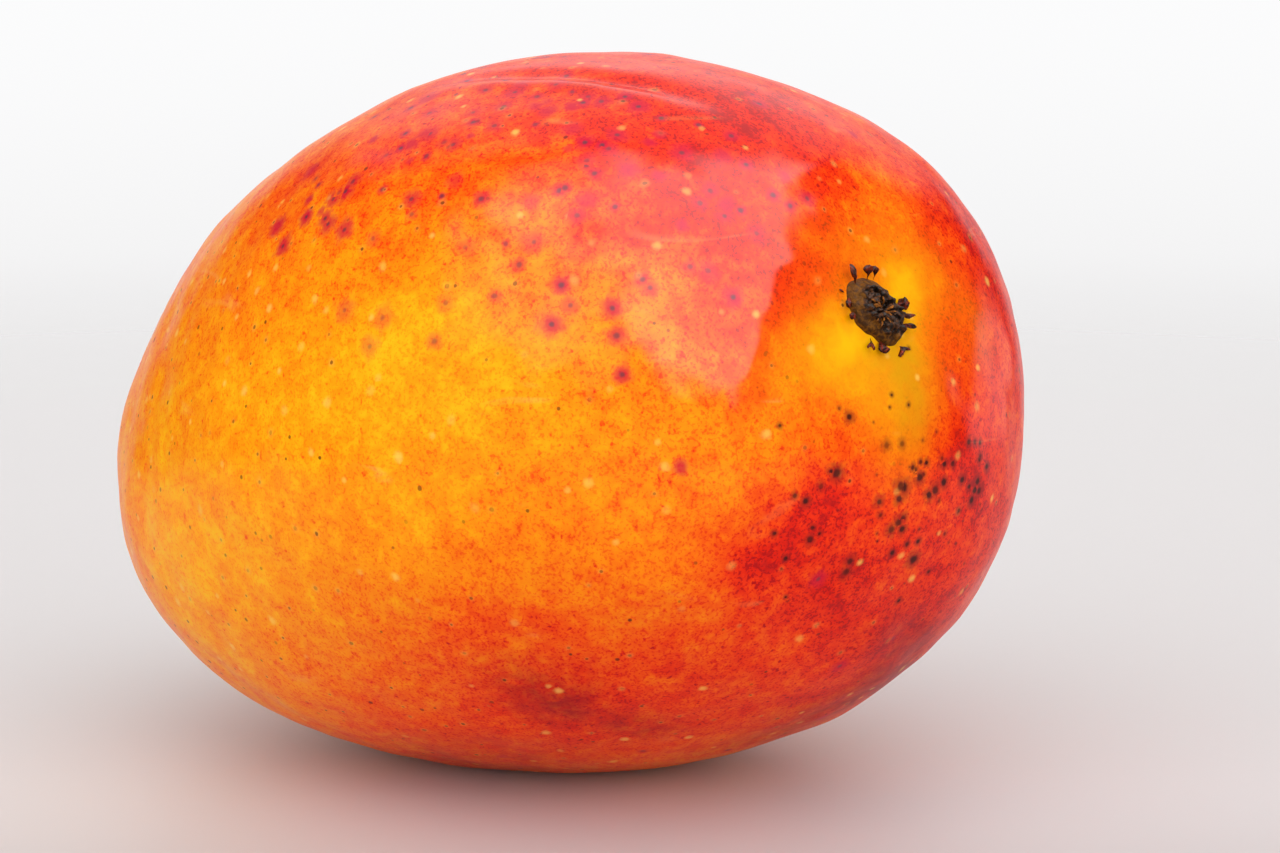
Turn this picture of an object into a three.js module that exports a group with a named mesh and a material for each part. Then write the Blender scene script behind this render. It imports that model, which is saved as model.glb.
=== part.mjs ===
// A ripe mango lying at rest on its flatter cheek, stem end towards +X and a little raised.
// Millimetres, +Z up. The origin is on the table, under the middle of the fruit's bounding box.
//
// The skin is star shaped about the fruit's heart: an egg-like superellipsoid gives each direction
// its distance, and soft swellings and hollows are added to it. The stem stub and the dried sepal
// scales around it are modelled flat, in millimetres on the tangent plane, and then draped on the skin.

import * as THREE from "three";
import { mergeVertices } from "three/addons/utils/BufferGeometryUtils.js";

// The egg under the swellings, and how it lies.
const HALF_LENGTH = 60; // stem to tip
const HALF_WIDTH = 45; // across the broad cheeks
const HALF_THICKNESS = 40; // across the stone's thin way
const FULLNESS = 2.3; // exponent of the superellipsoid; 2 is an ellipsoid
const TAPER = 0.26; // how much fuller the stem end is than the tip
const SAG = 0.115; // how much fuller the lower cheek is than the upper one
const HUNCH = 0.04; // how much the back rises over the stem end
const STEM_END_RAISED = 12; // degrees that the fruit's axis climbs towards the stem
const LEAN = 15; // degrees that its upper cheek leans towards +Y

// Directions on the fruit, in degrees: turn is measured from +X towards +Y, climb above the horizon.
const STEM = { turn: -2, climb: 14 };

// Soft swellings (mm above the egg, or below it when negative), each fading over its spread in degrees.
const SWELLINGS = [
  { name: "crown", turn: 0, climb: 60, height: -3, spread: 45 },
  { name: "near shoulder", turn: -100, climb: 50, height: -1.75, spread: 45 },
  { name: "far shoulder", turn: 60, climb: 25, height: -2, spread: 45 },
  { name: "near cheek", turn: -60, climb: 0, height: -0.5, spread: 45 },
  { name: "tail", turn: 180, climb: 0, height: -2, spread: 45 },
  { name: "belly, tip end", turn: 180, climb: -55, height: -7, spread: 45 },
  { name: "belly, far side", turn: 80, climb: -40, height: -3, spread: 45 },
  { name: "belly, near side", turn: -110, climb: -45, height: 4.5, spread: 45 },
  { name: "beak", turn: 150, climb: -4, height: 1.2, spread: 14 },
  { name: "sinus beside the beak", turn: 122, climb: -4, height: -1, spread: 22 },
  { name: "stem basin", turn: STEM.turn, climb: STEM.climb, height: -1.8, spread: 12 },
];

const FLAT_DEPTH = 1; // how deep the resting spot is pressed flat
const SEAT_GAP = 0.3; // between the skin and what sits on it

// How finely the skin is faceted.
const SKIN_RINGS = 44;
const SKIN_SEGMENTS = 60;

// The broken stub of the fruit stalk, a corky button in the basin.
const STUB_RADIUS = 3.3;
const STUB_HEIGHT = 1.5;
const STUB_RIM_HEIGHT = 1.8;
const STUB_CUP_RADIUS = 1.7; // the hollow where the stalk's core tore out
const STUB_SEGMENTS = 28;
const STUB_LOBES = 5; // one for each sepal
const STUB_LOBE_SHARE = 0.05;

// Dried sepal scales round the stub: clock angle in degrees on the skin (0 towards the far side,
// 90 up), distance of the middle from the stub's centre, and length, width and height, all in mm.
const SCALES = [
  { clock: 124, distance: 5.4, length: 1.9, width: 0.7, height: 0.7 },
  { clock: 147, distance: 5.5, length: 0.7, width: 0.4, height: 0.35 },
  { clock: 93, distance: 4.9, length: 1.6, width: 0.8, height: 0.8 },
  { clock: 78, distance: 4.9, length: 1.4, width: 0.5, height: 0.6 },
  { clock: 163, distance: 4.7, length: 1.1, width: 1.0, height: 0.9 },
  { clock: 182, distance: 4.4, length: 1.0, width: 0.9, height: 0.7 },
  { clock: 239, distance: 4.5, length: 1.1, width: 0.6, height: 0.5 },
  { clock: 262, distance: 4.5, length: 1.3, width: 1.2, height: 0.9 },
  { clock: 301, distance: 5.7, length: 0.7, width: 1.9, height: 0.5 },
  { clock: 333, distance: 4.9, length: 1.4, width: 0.5, height: 0.6 },
  { clock: 348, distance: 4.7, length: 1.2, width: 0.5, height: 0.6 },
  { clock: 8, distance: 4.6, length: 1.2, width: 1.1, height: 0.8 },
];
const SCALE_SEGMENTS = 10;
const SCALE_RINGS = 6;

// Finishes.
const skinFinish = new THREE.MeshStandardMaterial({ color: 0xf07a12, roughness: 0.32, metalness: 0 });
const corkFinish = new THREE.MeshStandardMaterial({ color: 0x3d2a14, roughness: 0.85, metalness: 0 });
const scaleFinish = new THREE.MeshStandardMaterial({ color: 0x4a1d0c, roughness: 0.6, metalness: 0 });

const radians = THREE.MathUtils.degToRad;

// The unit vector of a turn and a climb.
function heading({ turn, climb }) {
  const level = Math.cos(radians(climb));
  return new THREE.Vector3(
    level * Math.cos(radians(turn)),
    level * Math.sin(radians(turn)),
    Math.sin(radians(climb)),
  );
}

const eggTilt = new THREE.Matrix4()
  .makeRotationX(radians(LEAN))
  .multiply(new THREE.Matrix4().makeRotationY(radians(STEM_END_RAISED)));
const swellings = SWELLINGS.map((s) => ({
  middle: heading(s),
  height: s.height,
  sharpness: 1 / (1 - Math.cos(radians(s.spread))),
}));

// Distance from the heart to the skin along a unit direction: the tapered, sagging superellipsoid's
// radius, plus each swelling's height times a bell that falls off with the angle from its middle.
function skinDistance(direction) {
  const own = direction.clone().applyMatrix4(eggTilt);
  const sum =
    Math.abs(own.x / HALF_LENGTH) ** FULLNESS +
    Math.abs(own.y / HALF_WIDTH) ** FULLNESS +
    Math.abs(own.z / HALF_THICKNESS) ** FULLNESS;
  const fuller = 1 + TAPER * own.x - SAG * own.z + HUNCH * own.x * own.z;
  const egg = sum ** (-1 / FULLNESS) * fuller;
  return swellings.reduce(
    (distance, s) => distance + s.height * Math.exp(s.sharpness * (direction.dot(s.middle) - 1)),
    egg,
  );
}

// Calls move(point) on every vertex of a geometry, and joins the seams so that the mesh is closed.
function reshaped(geometry, move) {
  const positions = geometry.getAttribute("position");
  const point = new THREE.Vector3();
  for (let i = 0; i < positions.count; i++) {
    move(point.fromBufferAttribute(positions, i));
    positions.setXYZ(i, point.x, point.y, point.z);
  }
  geometry.deleteAttribute("normal");
  geometry.deleteAttribute("uv");
  const closed = mergeVertices(geometry, 1e-4);
  closed.computeVertexNormals();
  return closed;
}

// The fruit: a sphere whose pole points along the stem, moved out to the skin, with its lowest part
// pressed flat where it rests.
function fruitGeometry() {
  const sphere = new THREE.SphereGeometry(1, SKIN_SEGMENTS, SKIN_RINGS);
  const toStem = new THREE.Quaternion().setFromUnitVectors(new THREE.Vector3(0, 1, 0), heading(STEM));
  sphere.applyQuaternion(toStem);
  const skin = reshaped(sphere, (point) => point.normalize().multiplyScalar(skinDistance(point)));
  skin.computeBoundingBox();
  const table = skin.boundingBox.min.z + FLAT_DEPTH;
  return reshaped(skin.clone(), (point) => point.setZ(Math.max(point.z, table)));
}

// A frame on the skin at the stem: its point, its outward normal, and level and upward tangents.
function stemSeat() {
  const at = (turn, climb) => {
    const direction = heading({ turn, climb });
    return direction.multiplyScalar(skinDistance(direction));
  };
  const step = 0.5; // degrees
  const level = at(STEM.turn + step, STEM.climb).sub(at(STEM.turn - step, STEM.climb)).normalize();
  const rise = at(STEM.turn, STEM.climb + step).sub(at(STEM.turn, STEM.climb - step));
  const normal = level.clone().cross(rise).normalize();
  const upward = normal.clone().cross(level);
  return { point: at(STEM.turn, STEM.climb), level, upward, normal };
}

// Drapes a geometry modelled flat (X level, Y away from the skin, Z downhill) on the skin round the stem:
// each vertex keeps its height, measured out from the skin under it.
function draped(geometry) {
  const seat = stemSeat();
  return reshaped(geometry, (point) => {
    const height = point.y + SEAT_GAP;
    const direction = seat.point
      .clone()
      .addScaledVector(seat.level, point.x)
      .addScaledVector(seat.upward, -point.z)
      .normalize();
    point.copy(direction.multiplyScalar(skinDistance(direction) + height));
  });
}

// The stub: a turned button with a raised rim and a torn cup in its middle, its edge gently lobed.
function stubGeometry() {
  const profile = new THREE.Path();
  profile.moveTo(0, 0);
  profile.lineTo(STUB_RADIUS * 0.96, 0);
  profile.quadraticCurveTo(STUB_RADIUS * 1.04, STUB_RIM_HEIGHT * 0.6, STUB_RADIUS * 0.8, STUB_RIM_HEIGHT);
  profile.quadraticCurveTo(STUB_CUP_RADIUS, STUB_RIM_HEIGHT, STUB_CUP_RADIUS * 0.8, STUB_HEIGHT * 0.75);
  profile.lineTo(0, STUB_HEIGHT * 0.7);
  const button = new THREE.LatheGeometry(profile.getPoints(5), STUB_SEGMENTS);
  return reshaped(button, (point) => {
    const around = Math.atan2(point.z, point.x);
    const lobe = 1 + STUB_LOBE_SHARE * Math.cos(STUB_LOBES * around);
    point.x *= lobe;
    point.z *= lobe;
  });
}

// A scale: a small pebble, long way out from the stub unless it is wider than long.
function scaleGeometry({ clock, distance, length, width, height }) {
  const pebble = new THREE.SphereGeometry(1, SCALE_SEGMENTS, SCALE_RINGS);
  pebble.scale(length / 2, height / 2, width / 2);
  pebble.translate(distance, height / 2, 0);
  pebble.rotateY(radians(clock));
  return pebble;
}

function namedMesh(name, geometry, material) {
  const mesh = new THREE.Mesh(geometry, material);
  mesh.name = name;
  return mesh;
}

// Puts the whole fruit on the table, centred over the origin.
function restingMango() {
  const skin = fruitGeometry();
  skin.computeBoundingBox();
  const { min, max } = skin.boundingBox;
  const fruit = new THREE.Group();
  fruit.position.set(-(min.x + max.x) / 2, -(min.y + max.y) / 2, -min.z);
  fruit.add(namedMesh("fruit", skin, skinFinish));
  fruit.add(namedMesh("stem_stub", draped(stubGeometry()), corkFinish));
  SCALES.forEach((scale, i) =>
    fruit.add(namedMesh(`sepal_scale_${i + 1}`, draped(scaleGeometry(scale)), scaleFinish)),
  );
  const mango = new THREE.Group();
  mango.add(fruit);
  return mango;
}

export default restingMango();
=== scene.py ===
"""A ripe mango lying on a pale table: its fine skin, corky stem and soft light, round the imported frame.

Shapes are worked out in millimetres about the fruit's heart. A direction from the heart has a turn from
+X towards +Y and a climb above the horizon, in degrees, and the skin lies at some distance along it.
Blender gets everything in metres.
"""

from __future__ import annotations

import itertools
import logging
import math
from dataclasses import dataclass
from enum import Enum
from typing import Sequence, Union

import bpy
import numpy as np
from mathutils import Matrix, Vector

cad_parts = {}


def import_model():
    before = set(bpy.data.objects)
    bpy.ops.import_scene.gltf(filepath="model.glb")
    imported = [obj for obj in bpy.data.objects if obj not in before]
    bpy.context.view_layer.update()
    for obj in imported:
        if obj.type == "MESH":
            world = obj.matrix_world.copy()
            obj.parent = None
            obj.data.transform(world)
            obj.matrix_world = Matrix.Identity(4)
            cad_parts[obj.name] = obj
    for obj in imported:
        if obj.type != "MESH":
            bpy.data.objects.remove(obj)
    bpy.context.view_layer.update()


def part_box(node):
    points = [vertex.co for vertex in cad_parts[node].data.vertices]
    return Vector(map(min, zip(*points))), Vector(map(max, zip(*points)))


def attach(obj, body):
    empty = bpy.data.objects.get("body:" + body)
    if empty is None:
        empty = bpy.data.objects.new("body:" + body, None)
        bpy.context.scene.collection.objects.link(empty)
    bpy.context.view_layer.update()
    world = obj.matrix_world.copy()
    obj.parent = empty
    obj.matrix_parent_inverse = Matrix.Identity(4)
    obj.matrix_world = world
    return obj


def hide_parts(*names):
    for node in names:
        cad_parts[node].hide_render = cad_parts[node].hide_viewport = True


MM = 0.001  # metres in a millimetre
log = logging.getLogger("mango")

Colour = tuple[float, float, float]
Socket = bpy.types.NodeSocket
Given = Union[Socket, float, Sequence[float]]


# ---------------------------------------------------------------- arithmetic on whole arrays


def heading(turn: float, climb: float) -> np.ndarray:
    """Gives the unit vector of a turn and a climb.

    Args:
        turn: degrees from +X towards +Y.
        climb: degrees above the horizon.

    Returns:
        Three numbers, or one row of three for each turn and climb when those are arrays.
    """
    turn, climb = np.radians(turn), np.radians(climb)
    level = np.cos(climb)
    return np.stack([level * np.cos(turn), level * np.sin(turn), np.sin(climb)], axis=-1)


def bell(directions: np.ndarray, turn: float, climb: float, spread: float) -> np.ndarray:
    """A soft round patch on the sphere of directions: 1 in the middle, 1/e at spread degrees.

    Args:
        directions: unit vectors, in rows.
        turn: where the middle is.
        climb: where the middle is.
        spread: how wide the patch is, in degrees.

    Returns:
        exp((cosine of the angle from the middle - 1) / (1 - cosine of the spread)).
    """
    sharpness = 1 / (1 - math.cos(math.radians(spread)))
    return np.exp(sharpness * (directions @ heading(turn, climb) - 1))


LATTICE = 48  # corners each way before the random lattice repeats


def cloud(points: np.ndarray, size: float, seed: int) -> np.ndarray:
    """Smooth random lumps: random values at a lattice's corners, blended by smoothstep along each axis.

    Args:
        points: places, in rows, in the unit that size is in.
        size: the lattice's step, which is about half the distance from lump to lump.
        seed: which lattice.

    Returns:
        A number from -1 to 1 for each place.
    """
    lattice = np.random.default_rng(seed).uniform(-1, 1, (LATTICE,) * 3)
    scaled = points / size
    cell = np.floor(scaled).astype(int)
    share = scaled - cell
    share = share * share * (3 - 2 * share)
    total = np.zeros(points.shape[:-1])
    for corner in itertools.product((0, 1), repeat=3):
        weight = np.prod(np.where(corner, share, 1 - share), axis=-1)
        index = (cell + corner) % LATTICE
        total += weight * lattice[index[..., 0], index[..., 1], index[..., 2]]
    return total


@dataclass(frozen=True)
class Lumps:
    """One size of random lumps: how high, on what lattice step, both in mm, and which lattice."""

    height: float
    size: float
    seed: int

    def over(self, points: np.ndarray) -> np.ndarray:
        """The lumps' height at each place, in mm."""
        return self.height * cloud(points, self.size, self.seed)


POINTS_AT_ONCE = 8000  # keeps the table of distances small


def nearest(points: np.ndarray, centres: np.ndarray, sizes: np.ndarray) -> np.ndarray:
    """Finds the centre that is the fewest of its own sizes away, by (a.a + b.b - 2 a.b) / size^2.

    Args:
        points: places, in rows.
        centres: places, in rows.
        sizes: each centre's size.

    Returns:
        The index of a centre for each point.
    """
    reach = np.sum(centres**2, axis=1)[None]
    found = []
    for chunk in np.array_split(points, max(1, len(points) // POINTS_AT_ONCE)):
        squares = np.sum(chunk**2, axis=1)[:, None] + reach - 2 * chunk @ centres.T
        found.append(np.argmin(squares / sizes[None] ** 2, axis=1))
    return np.concatenate(found)


# ---------------------------------------------------------------- meshes from grids


@dataclass(frozen=True)
class Surface:
    """A surface made of rings of points: places in mm, and faces as rows of place numbers."""

    places: np.ndarray
    quads: np.ndarray
    triangles: np.ndarray


def disc(rings: np.ndarray, first: np.ndarray) -> Surface:
    """Fills rings of points: quads between them, and a fan of triangles inside the first.

    Args:
        rings: places, as rings x points round x 3, each ring counter-clockwise seen from outside.
        first: the place in the middle of the first ring.

    Returns:
        The surface, open at its last ring.
    """
    count, around = rings.shape[:2]
    index = 1 + np.arange(count * around).reshape(count, around)
    turned = np.roll(index, -1, axis=1)
    quads = np.stack([index[:-1], index[1:], turned[1:], turned[:-1]], axis=-1).reshape(-1, 4)
    fan = np.stack([np.zeros(around, int), index[0], turned[0]], axis=-1)
    return Surface(np.concatenate([first[None], rings.reshape(-1, 3)]), quads, fan)


def closed(rings: np.ndarray, first: np.ndarray, last: np.ndarray) -> Surface:
    """Fills rings of points, and closes the last one with a fan of triangles too.

    Args:
        rings: places, as rings x points round x 3, each ring counter-clockwise seen from outside.
        first: the place that closes the first ring.
        last: the place that closes the last ring.

    Returns:
        The closed surface.
    """
    shell = disc(rings, first)
    around = rings.shape[1]
    edge = len(shell.places) - around + np.arange(around)
    fan = np.stack([np.full(around, len(shell.places)), np.roll(edge, -1), edge], axis=-1)
    places = np.concatenate([shell.places, last[None]])
    return Surface(places, shell.quads, np.concatenate([shell.triangles, fan]))


def new_object(name: str, surfaces: Sequence[Surface]) -> bpy.types.Object:
    """Makes one smooth object of some surfaces put end to end, with from_pydata.

    Args:
        name: the object's name.
        surfaces: what it is made of.

    Returns:
        The object, at the origin of the scene.
    """
    starts = np.cumsum([0] + [len(surface.places) for surface in surfaces])
    places = np.concatenate([surface.places for surface in surfaces]) * MM
    quads = np.concatenate([surface.quads + start for surface, start in zip(surfaces, starts)])
    triangles = np.concatenate([surface.triangles + start for surface, start in zip(surfaces, starts)])
    mesh = bpy.data.meshes.new(name)
    mesh.from_pydata(places.tolist(), [], quads.tolist() + triangles.tolist())
    mesh.shade_smooth()
    made = bpy.data.objects.new(name, mesh)
    bpy.context.scene.collection.objects.link(made)
    return made


def write_numbers(mesh: bpy.types.Mesh, name: str, values: np.ndarray) -> None:
    """Stores one number, or one vector, for each vertex or for each face.

    Args:
        mesh: the mesh.
        name: what the material calls the values.
        values: as many numbers, or rows of three, as the mesh has vertices, or as it has faces.
    """
    vector = values.ndim == 2
    domain = "POINT" if len(values) == len(mesh.vertices) else "FACE"
    layer = mesh.attributes.new(name, "FLOAT_VECTOR" if vector else "FLOAT", domain)
    layer.data.foreach_set("vector" if vector else "value", values.astype(np.float32).ravel())


# ---------------------------------------------------------------- materials


class Sketch:
    """Lays out the nodes of a material or a world. Most methods add a node and return its output."""

    def __init__(self, name: str, among: str = "materials") -> None:
        """Starts an empty material or world.

        Args:
            name: what it is called.
            among: materials, or worlds.
        """
        self.owner = getattr(bpy.data, among).new(name)
        self.owner.use_nodes = True
        self.tree = self.owner.node_tree
        self.tree.nodes.clear()

    def give(self, node: bpy.types.Node, key: str | int, value: Given) -> None:
        """Links a socket to one of a node's inputs, or sets the input's own value.

        Args:
            node: the node.
            key: the input's name or number.
            value: the socket or the value.
        """
        if isinstance(value, Socket):
            self.tree.links.new(value, node.inputs[key])
        else:
            node.inputs[key].default_value = value

    def add(self, kind: str, given: dict[str | int, Given], **settings: object) -> bpy.types.Node:
        """Adds a node.

        Args:
            kind: Blender's name for the node's class, without ShaderNode.
            given: a socket or a value for some of its inputs.
            settings: its other properties.

        Returns:
            The node.
        """
        node = self.tree.nodes.new("ShaderNode" + kind)
        for key, value in settings.items():
            setattr(node, key, value)
        for key, value in given.items():
            self.give(node, key, value)
        return node

    def math(self, operation: str, first: Given, second: Given = 0.0) -> Socket:
        """One step of arithmetic on two numbers."""
        return self.add("Math", {0: first, 1: second}, operation=operation).outputs[0]

    def total(self, *terms: Given) -> Socket:
        """Adds numbers up.

        Args:
            terms: the numbers, at least two of them.

        Returns:
            Their sum.
        """
        total = terms[0]
        for term in terms[1:]:
            total = self.math("ADD", total, term)
        return total

    def times(self, first: Given, second: Given) -> Socket:
        """The product of two numbers."""
        return self.math("MULTIPLY", first, second)

    def ease(self, value: Given, low: float, high: float) -> Socket:
        """Rises smoothly from 0 to 1, or falls from 1 to 0 where low is the greater.

        Args:
            value: the number that is followed.
            low: where the result is 0.
            high: where the result is 1.

        Returns:
            The result.
        """
        flip = low > high
        given = {"Value": value, "From Min": min(low, high), "From Max": max(low, high)}
        given |= {"To Min": 1.0 if flip else 0.0, "To Max": 0.0 if flip else 1.0}
        return self.add("MapRange", given, interpolation_type="SMOOTHSTEP").outputs[0]

    def stored(self, name: str, part: str = "Fac") -> Socket:
        """A number, or with part Vector a vector, that the mesh stores under name."""
        return self.add("Attribute", {}, attribute_name=name).outputs[part]

    def place(self, stretch: Sequence[float] = (1.0, 1.0, 1.0)) -> Socket:
        """Reads the place on the piece.

        Args:
            stretch: what the place is multiplied by along each axis.

        Returns:
            The stretched place, in mm.
        """
        own = self.add("TexCoord", {}).outputs["Object"]
        scale = [s / MM for s in stretch]
        return self.add("VectorMath", {0: own, 1: scale}, operation="MULTIPLY").outputs[0]

    def away(self, middle: str) -> Socket:
        """Measures how far the place is from a middle.

        Args:
            middle: what the mesh stores the middle under.

        Returns:
            The distance in mm.
        """
        given = {0: self.place(), 1: self.stored(middle, "Vector")}
        return self.add("VectorMath", given, operation="DISTANCE").outputs["Value"]

    def along(self, vector: Socket, way: Sequence[float]) -> Socket:
        """How far a vector reaches along a way."""
        given = {0: vector, 1: tuple(way)}
        return self.add("VectorMath", given, operation="DOT_PRODUCT").outputs["Value"]

    def grain(
        self, size: float, detail: float = 2.0, wander: float = 0.0, at: Socket | None = None
    ) -> Socket:
        """Noise from about -0.5 to 0.5.

        Args:
            size: how wide its lumps are, in mm.
            detail: how many finer sizes of lumps it has.
            wander: how much it is twisted.
            at: where it is read, if not at the place on the piece.

        Returns:
            The noise.
        """
        given = {"Vector": at or self.place(), "Scale": 1 / size, "Detail": detail, "Distortion": wander}
        return self.math("SUBTRACT", self.add("TexNoise", given).outputs["Fac"], 0.5)

    def mix(self, share: Given, first: Given, second: Given) -> Socket:
        """Mixes two colours.

        Args:
            share: how much of the second, from 0 to 1.
            first: a colour.
            second: a colour.

        Returns:
            The mixture.
        """
        node = self.add("Mix", {0: share}, data_type="RGBA")
        for key, value in ((6, first), (7, second)):
            self.give(node, key, value if isinstance(value, Socket) else (*value, 1.0))
        return node.outputs[2]

    def ramp(self, value: Socket, stops: Sequence[tuple[float, Colour]]) -> Socket:
        """Turns a number from 0 to 1 into a colour.

        Args:
            value: the number.
            stops: places from 0 to 1 in rising order, each with its colour.

        Returns:
            The colour.
        """
        node = self.add("ValToRGB", {0: value})
        elements = node.color_ramp.elements
        for element, (position, colour) in ((elements[0], stops[0]), (elements[1], stops[-1])):
            element.position = position
            element.color = (*colour, 1)
        for position, colour in stops[1:-1]:
            elements.new(position).color = (*colour, 1)
        return node.outputs[0]

    def bump(self, height: Socket, depth: float) -> Socket:
        """A normal bent by a height from 0 to 1, depth mm deep."""
        return self.add("Bump", {"Height": height, "Strength": 1.0, "Distance": depth * MM}).outputs[0]

    def finish(self, **given: Given) -> bpy.types.Material:
        """Ends in one Principled surface.

        Args:
            given: what its sockets get, with underscores for the spaces in their names.

        Returns:
            The material.
        """
        shader = self.add("BsdfPrincipled", {key.replace("_", " "): value for key, value in given.items()})
        self.add("OutputMaterial", {0: shader.outputs[0]})
        return self.owner


def tone(red: int, green: int, blue: int) -> Colour:
    """Turns a colour in the usual 0 to 255 steps into the linear light that shaders take.

    Args:
        red: the red steps.
        green: the green steps.
        blue: the blue steps.

    Returns:
        Each step s as s / 12.92 near black and ((s + 0.055) / 1.055)^2.4 elsewhere, from 0 to 1.
    """
    steps = np.array([red, green, blue]) / 255
    light = np.where(steps <= 0.04045, steps / 12.92, ((steps + 0.055) / 1.055) ** 2.4)
    return tuple(float(v) for v in light)


def worn(piece: bpy.types.Object, material: bpy.types.Material) -> None:
    """Puts a material on a piece, which rides on the one body.

    Args:
        piece: the piece.
        material: the material.
    """
    piece.data.materials.append(material)
    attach(piece, "root")


# ---------------------------------------------------------------- the fruit's form


@dataclass(frozen=True)
class Swelling:
    """A soft rise of the skin, height mm above the egg, or a hollow where that is negative."""

    turn: float
    climb: float
    height: float
    spread: float


@dataclass(frozen=True)
class Fold:
    """A fine fold of the skin between two directions: a low ridge with a valley on its left.

    Left is as seen from outside when going from start to end with the ridge underfoot.
    """

    start: tuple[float, float]
    end: tuple[float, float]
    ridge: float
    valley: float
    width: float
    ridge_side: float = -0.6  # where the ridge and the valley are beside the line, in widths
    valley_side: float = 1.0

    def lift(self, directions: np.ndarray, distance: np.ndarray) -> np.ndarray:
        """Works out how far the fold moves the skin.

        A bell beside the line for the ridge, less a bell on its other side for the valley, both
        faded out along the line by exp(-t^4), where t is -1 at the start and 1 at the end.

        Args:
            directions: unit vectors, in rows.
            distance: how far the skin is along each, in mm.

        Returns:
            Millimetres outwards for each.
        """
        start, end = heading(*self.start), heading(*self.end)
        middle = (start + end) / np.linalg.norm(start + end)
        ahead = (end - start) / np.linalg.norm(end - start)
        beside = directions @ np.cross(middle, ahead) * distance / self.width
        along = directions @ ahead / (end @ ahead)
        fade = np.exp(-(along**4)) * (directions @ middle > 0)
        ridge = self.ridge * np.exp(-((beside - self.ridge_side) ** 2))
        valley = self.valley * np.exp(-((beside - self.valley_side) ** 2))
        return fade * (ridge - valley)


@dataclass(frozen=True)
class FruitForm:
    """The mango's skin as a distance along each direction from its heart, in mm."""

    half_length: float = 60.0
    half_width: float = 45.0
    half_thickness: float = 40.0
    fullness: float = 2.3
    taper: float = 0.26
    sag: float = 0.115
    hunch: float = 0.04
    stem_end_raised: float = 12.0
    lean: float = 15.0
    stem: tuple[float, float] = (-2.0, 14.0)
    flat_depth: float = 1.0
    flat_softness: float = 0.12
    swellings: tuple[Swelling, ...] = (
        Swelling(0, 60, -3, 45),
        Swelling(-100, 50, -1.75, 45),
        Swelling(60, 25, -2, 45),
        Swelling(-60, 0, -0.5, 45),
        Swelling(180, 0, -2, 45),
        Swelling(180, -55, -7, 45),
        Swelling(80, -40, -3, 45),
        Swelling(-110, -45, 4.5, 45),
        Swelling(150, -4, 1.2, 14),
        Swelling(122, -4, -1, 22),
        Swelling(-2, 14, -1.8, 12),
    )
    folds: tuple[Fold, ...] = (
        Fold((-46, 51), (-14, 37), ridge=0.4, valley=0.75, width=1.7),
        Fold((2, 11), (10, 0), ridge=0.22, valley=0.1, width=2.4),
        Fold((-1, -12), (14, -26), ridge=0.2, valley=0.25, width=2.6),
        Fold((128, 34), (158, 18), ridge=0.2, valley=0.25, width=2.2),
    )
    unevenness: tuple[Lumps, ...] = (Lumps(0.34, 13, 3), Lumps(0.19, 5.5, 4), Lumps(0.06, 2.6, 5))

    def egg(self, directions: np.ndarray) -> np.ndarray:
        """Works out the smooth form: a tapered, sagging superellipsoid and its swellings.

        The radius is (|x/a|^p + |y/b|^p + |z/c|^p)^(-1/p) in the fruit's own axes, times
        1 + taper x - sag z + hunch x z, plus each swelling's height times its bell.

        Args:
            directions: unit vectors, in rows.

        Returns:
            Millimetres from the heart.
        """
        leaning = Matrix.Rotation(math.radians(self.lean), 3, "X")
        raised = Matrix.Rotation(math.radians(self.stem_end_raised), 3, "Y")
        own = directions @ np.array(leaning @ raised).T
        halves = np.array([self.half_length, self.half_width, self.half_thickness])
        round_ = np.sum(np.abs(own / halves) ** self.fullness, axis=-1) ** (-1 / self.fullness)
        x, z = own[..., 0], own[..., 2]
        smooth = round_ * (1 + self.taper * x - self.sag * z + self.hunch * x * z)
        return smooth + sum(s.height * bell(directions, s.turn, s.climb, s.spread) for s in self.swellings)

    def reach(self, directions: np.ndarray) -> np.ndarray:
        """Works out the skin with its folds and the slow unevenness of a grown thing.

        Args:
            directions: unit vectors, in rows.

        Returns:
            Millimetres from the heart.
        """
        egg = self.egg(directions)
        at = directions * egg[..., None]
        uneven = sum(lumps.over(at) for lumps in self.unevenness)
        return egg + uneven + sum(fold.lift(directions, egg) for fold in self.folds)

    def heart(self) -> np.ndarray:
        """Finds the heart in the row frame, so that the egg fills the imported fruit's box.

        Returns:
            Its place in mm.
        """
        turn, climb = np.meshgrid(np.arange(0, 360, 1.0), np.arange(-90, 91, 1.0))
        directions = heading(turn, climb).reshape(-1, 3)
        egg = directions * self.egg(directions)[:, None]
        lowest, highest = egg.min(0), egg.max(0)
        box_low, box_high = (np.array(corner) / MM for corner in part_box("fruit"))
        middle = (box_low + box_high) / 2 - (lowest + highest) / 2
        return np.array([middle[0], middle[1], box_low[2] - lowest[2] - self.flat_depth])

    def settled(self, places: np.ndarray) -> np.ndarray:
        """Moves places about the heart into the row frame, and presses flat what would be under the table.

        Heights go through s ln(1 + e^(z/s)), which is z above the table and 0 below it.

        Args:
            places: millimetres about the heart, in rows.

        Returns:
            Millimetres in the row frame.
        """
        moved = places + self.heart()
        height = moved[..., 2] / self.flat_softness
        moved[..., 2] = self.flat_softness * np.logaddexp(0, height)
        return moved

    def seat(self) -> tuple[np.ndarray, np.ndarray, np.ndarray]:
        """Finds where the stem stands, from differences between the egg's places half a degree away.

        Returns:
            The egg's place under the stem, about the heart in mm, and the unit vectors along it
            towards the far side and upwards.
        """
        turn, climb = self.stem
        step = 0.5
        turns = np.array([turn, turn - step, turn + step, turn, turn])
        climbs = np.array([climb, climb, climb, climb - step, climb + step])
        around = heading(turns, climbs)
        at = around * self.egg(around)[:, None]
        level = (at[2] - at[1]) / np.linalg.norm(at[2] - at[1])
        outward = np.cross(level, at[4] - at[3])
        outward /= np.linalg.norm(outward)
        return at[0], level, np.cross(outward, level)

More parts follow.
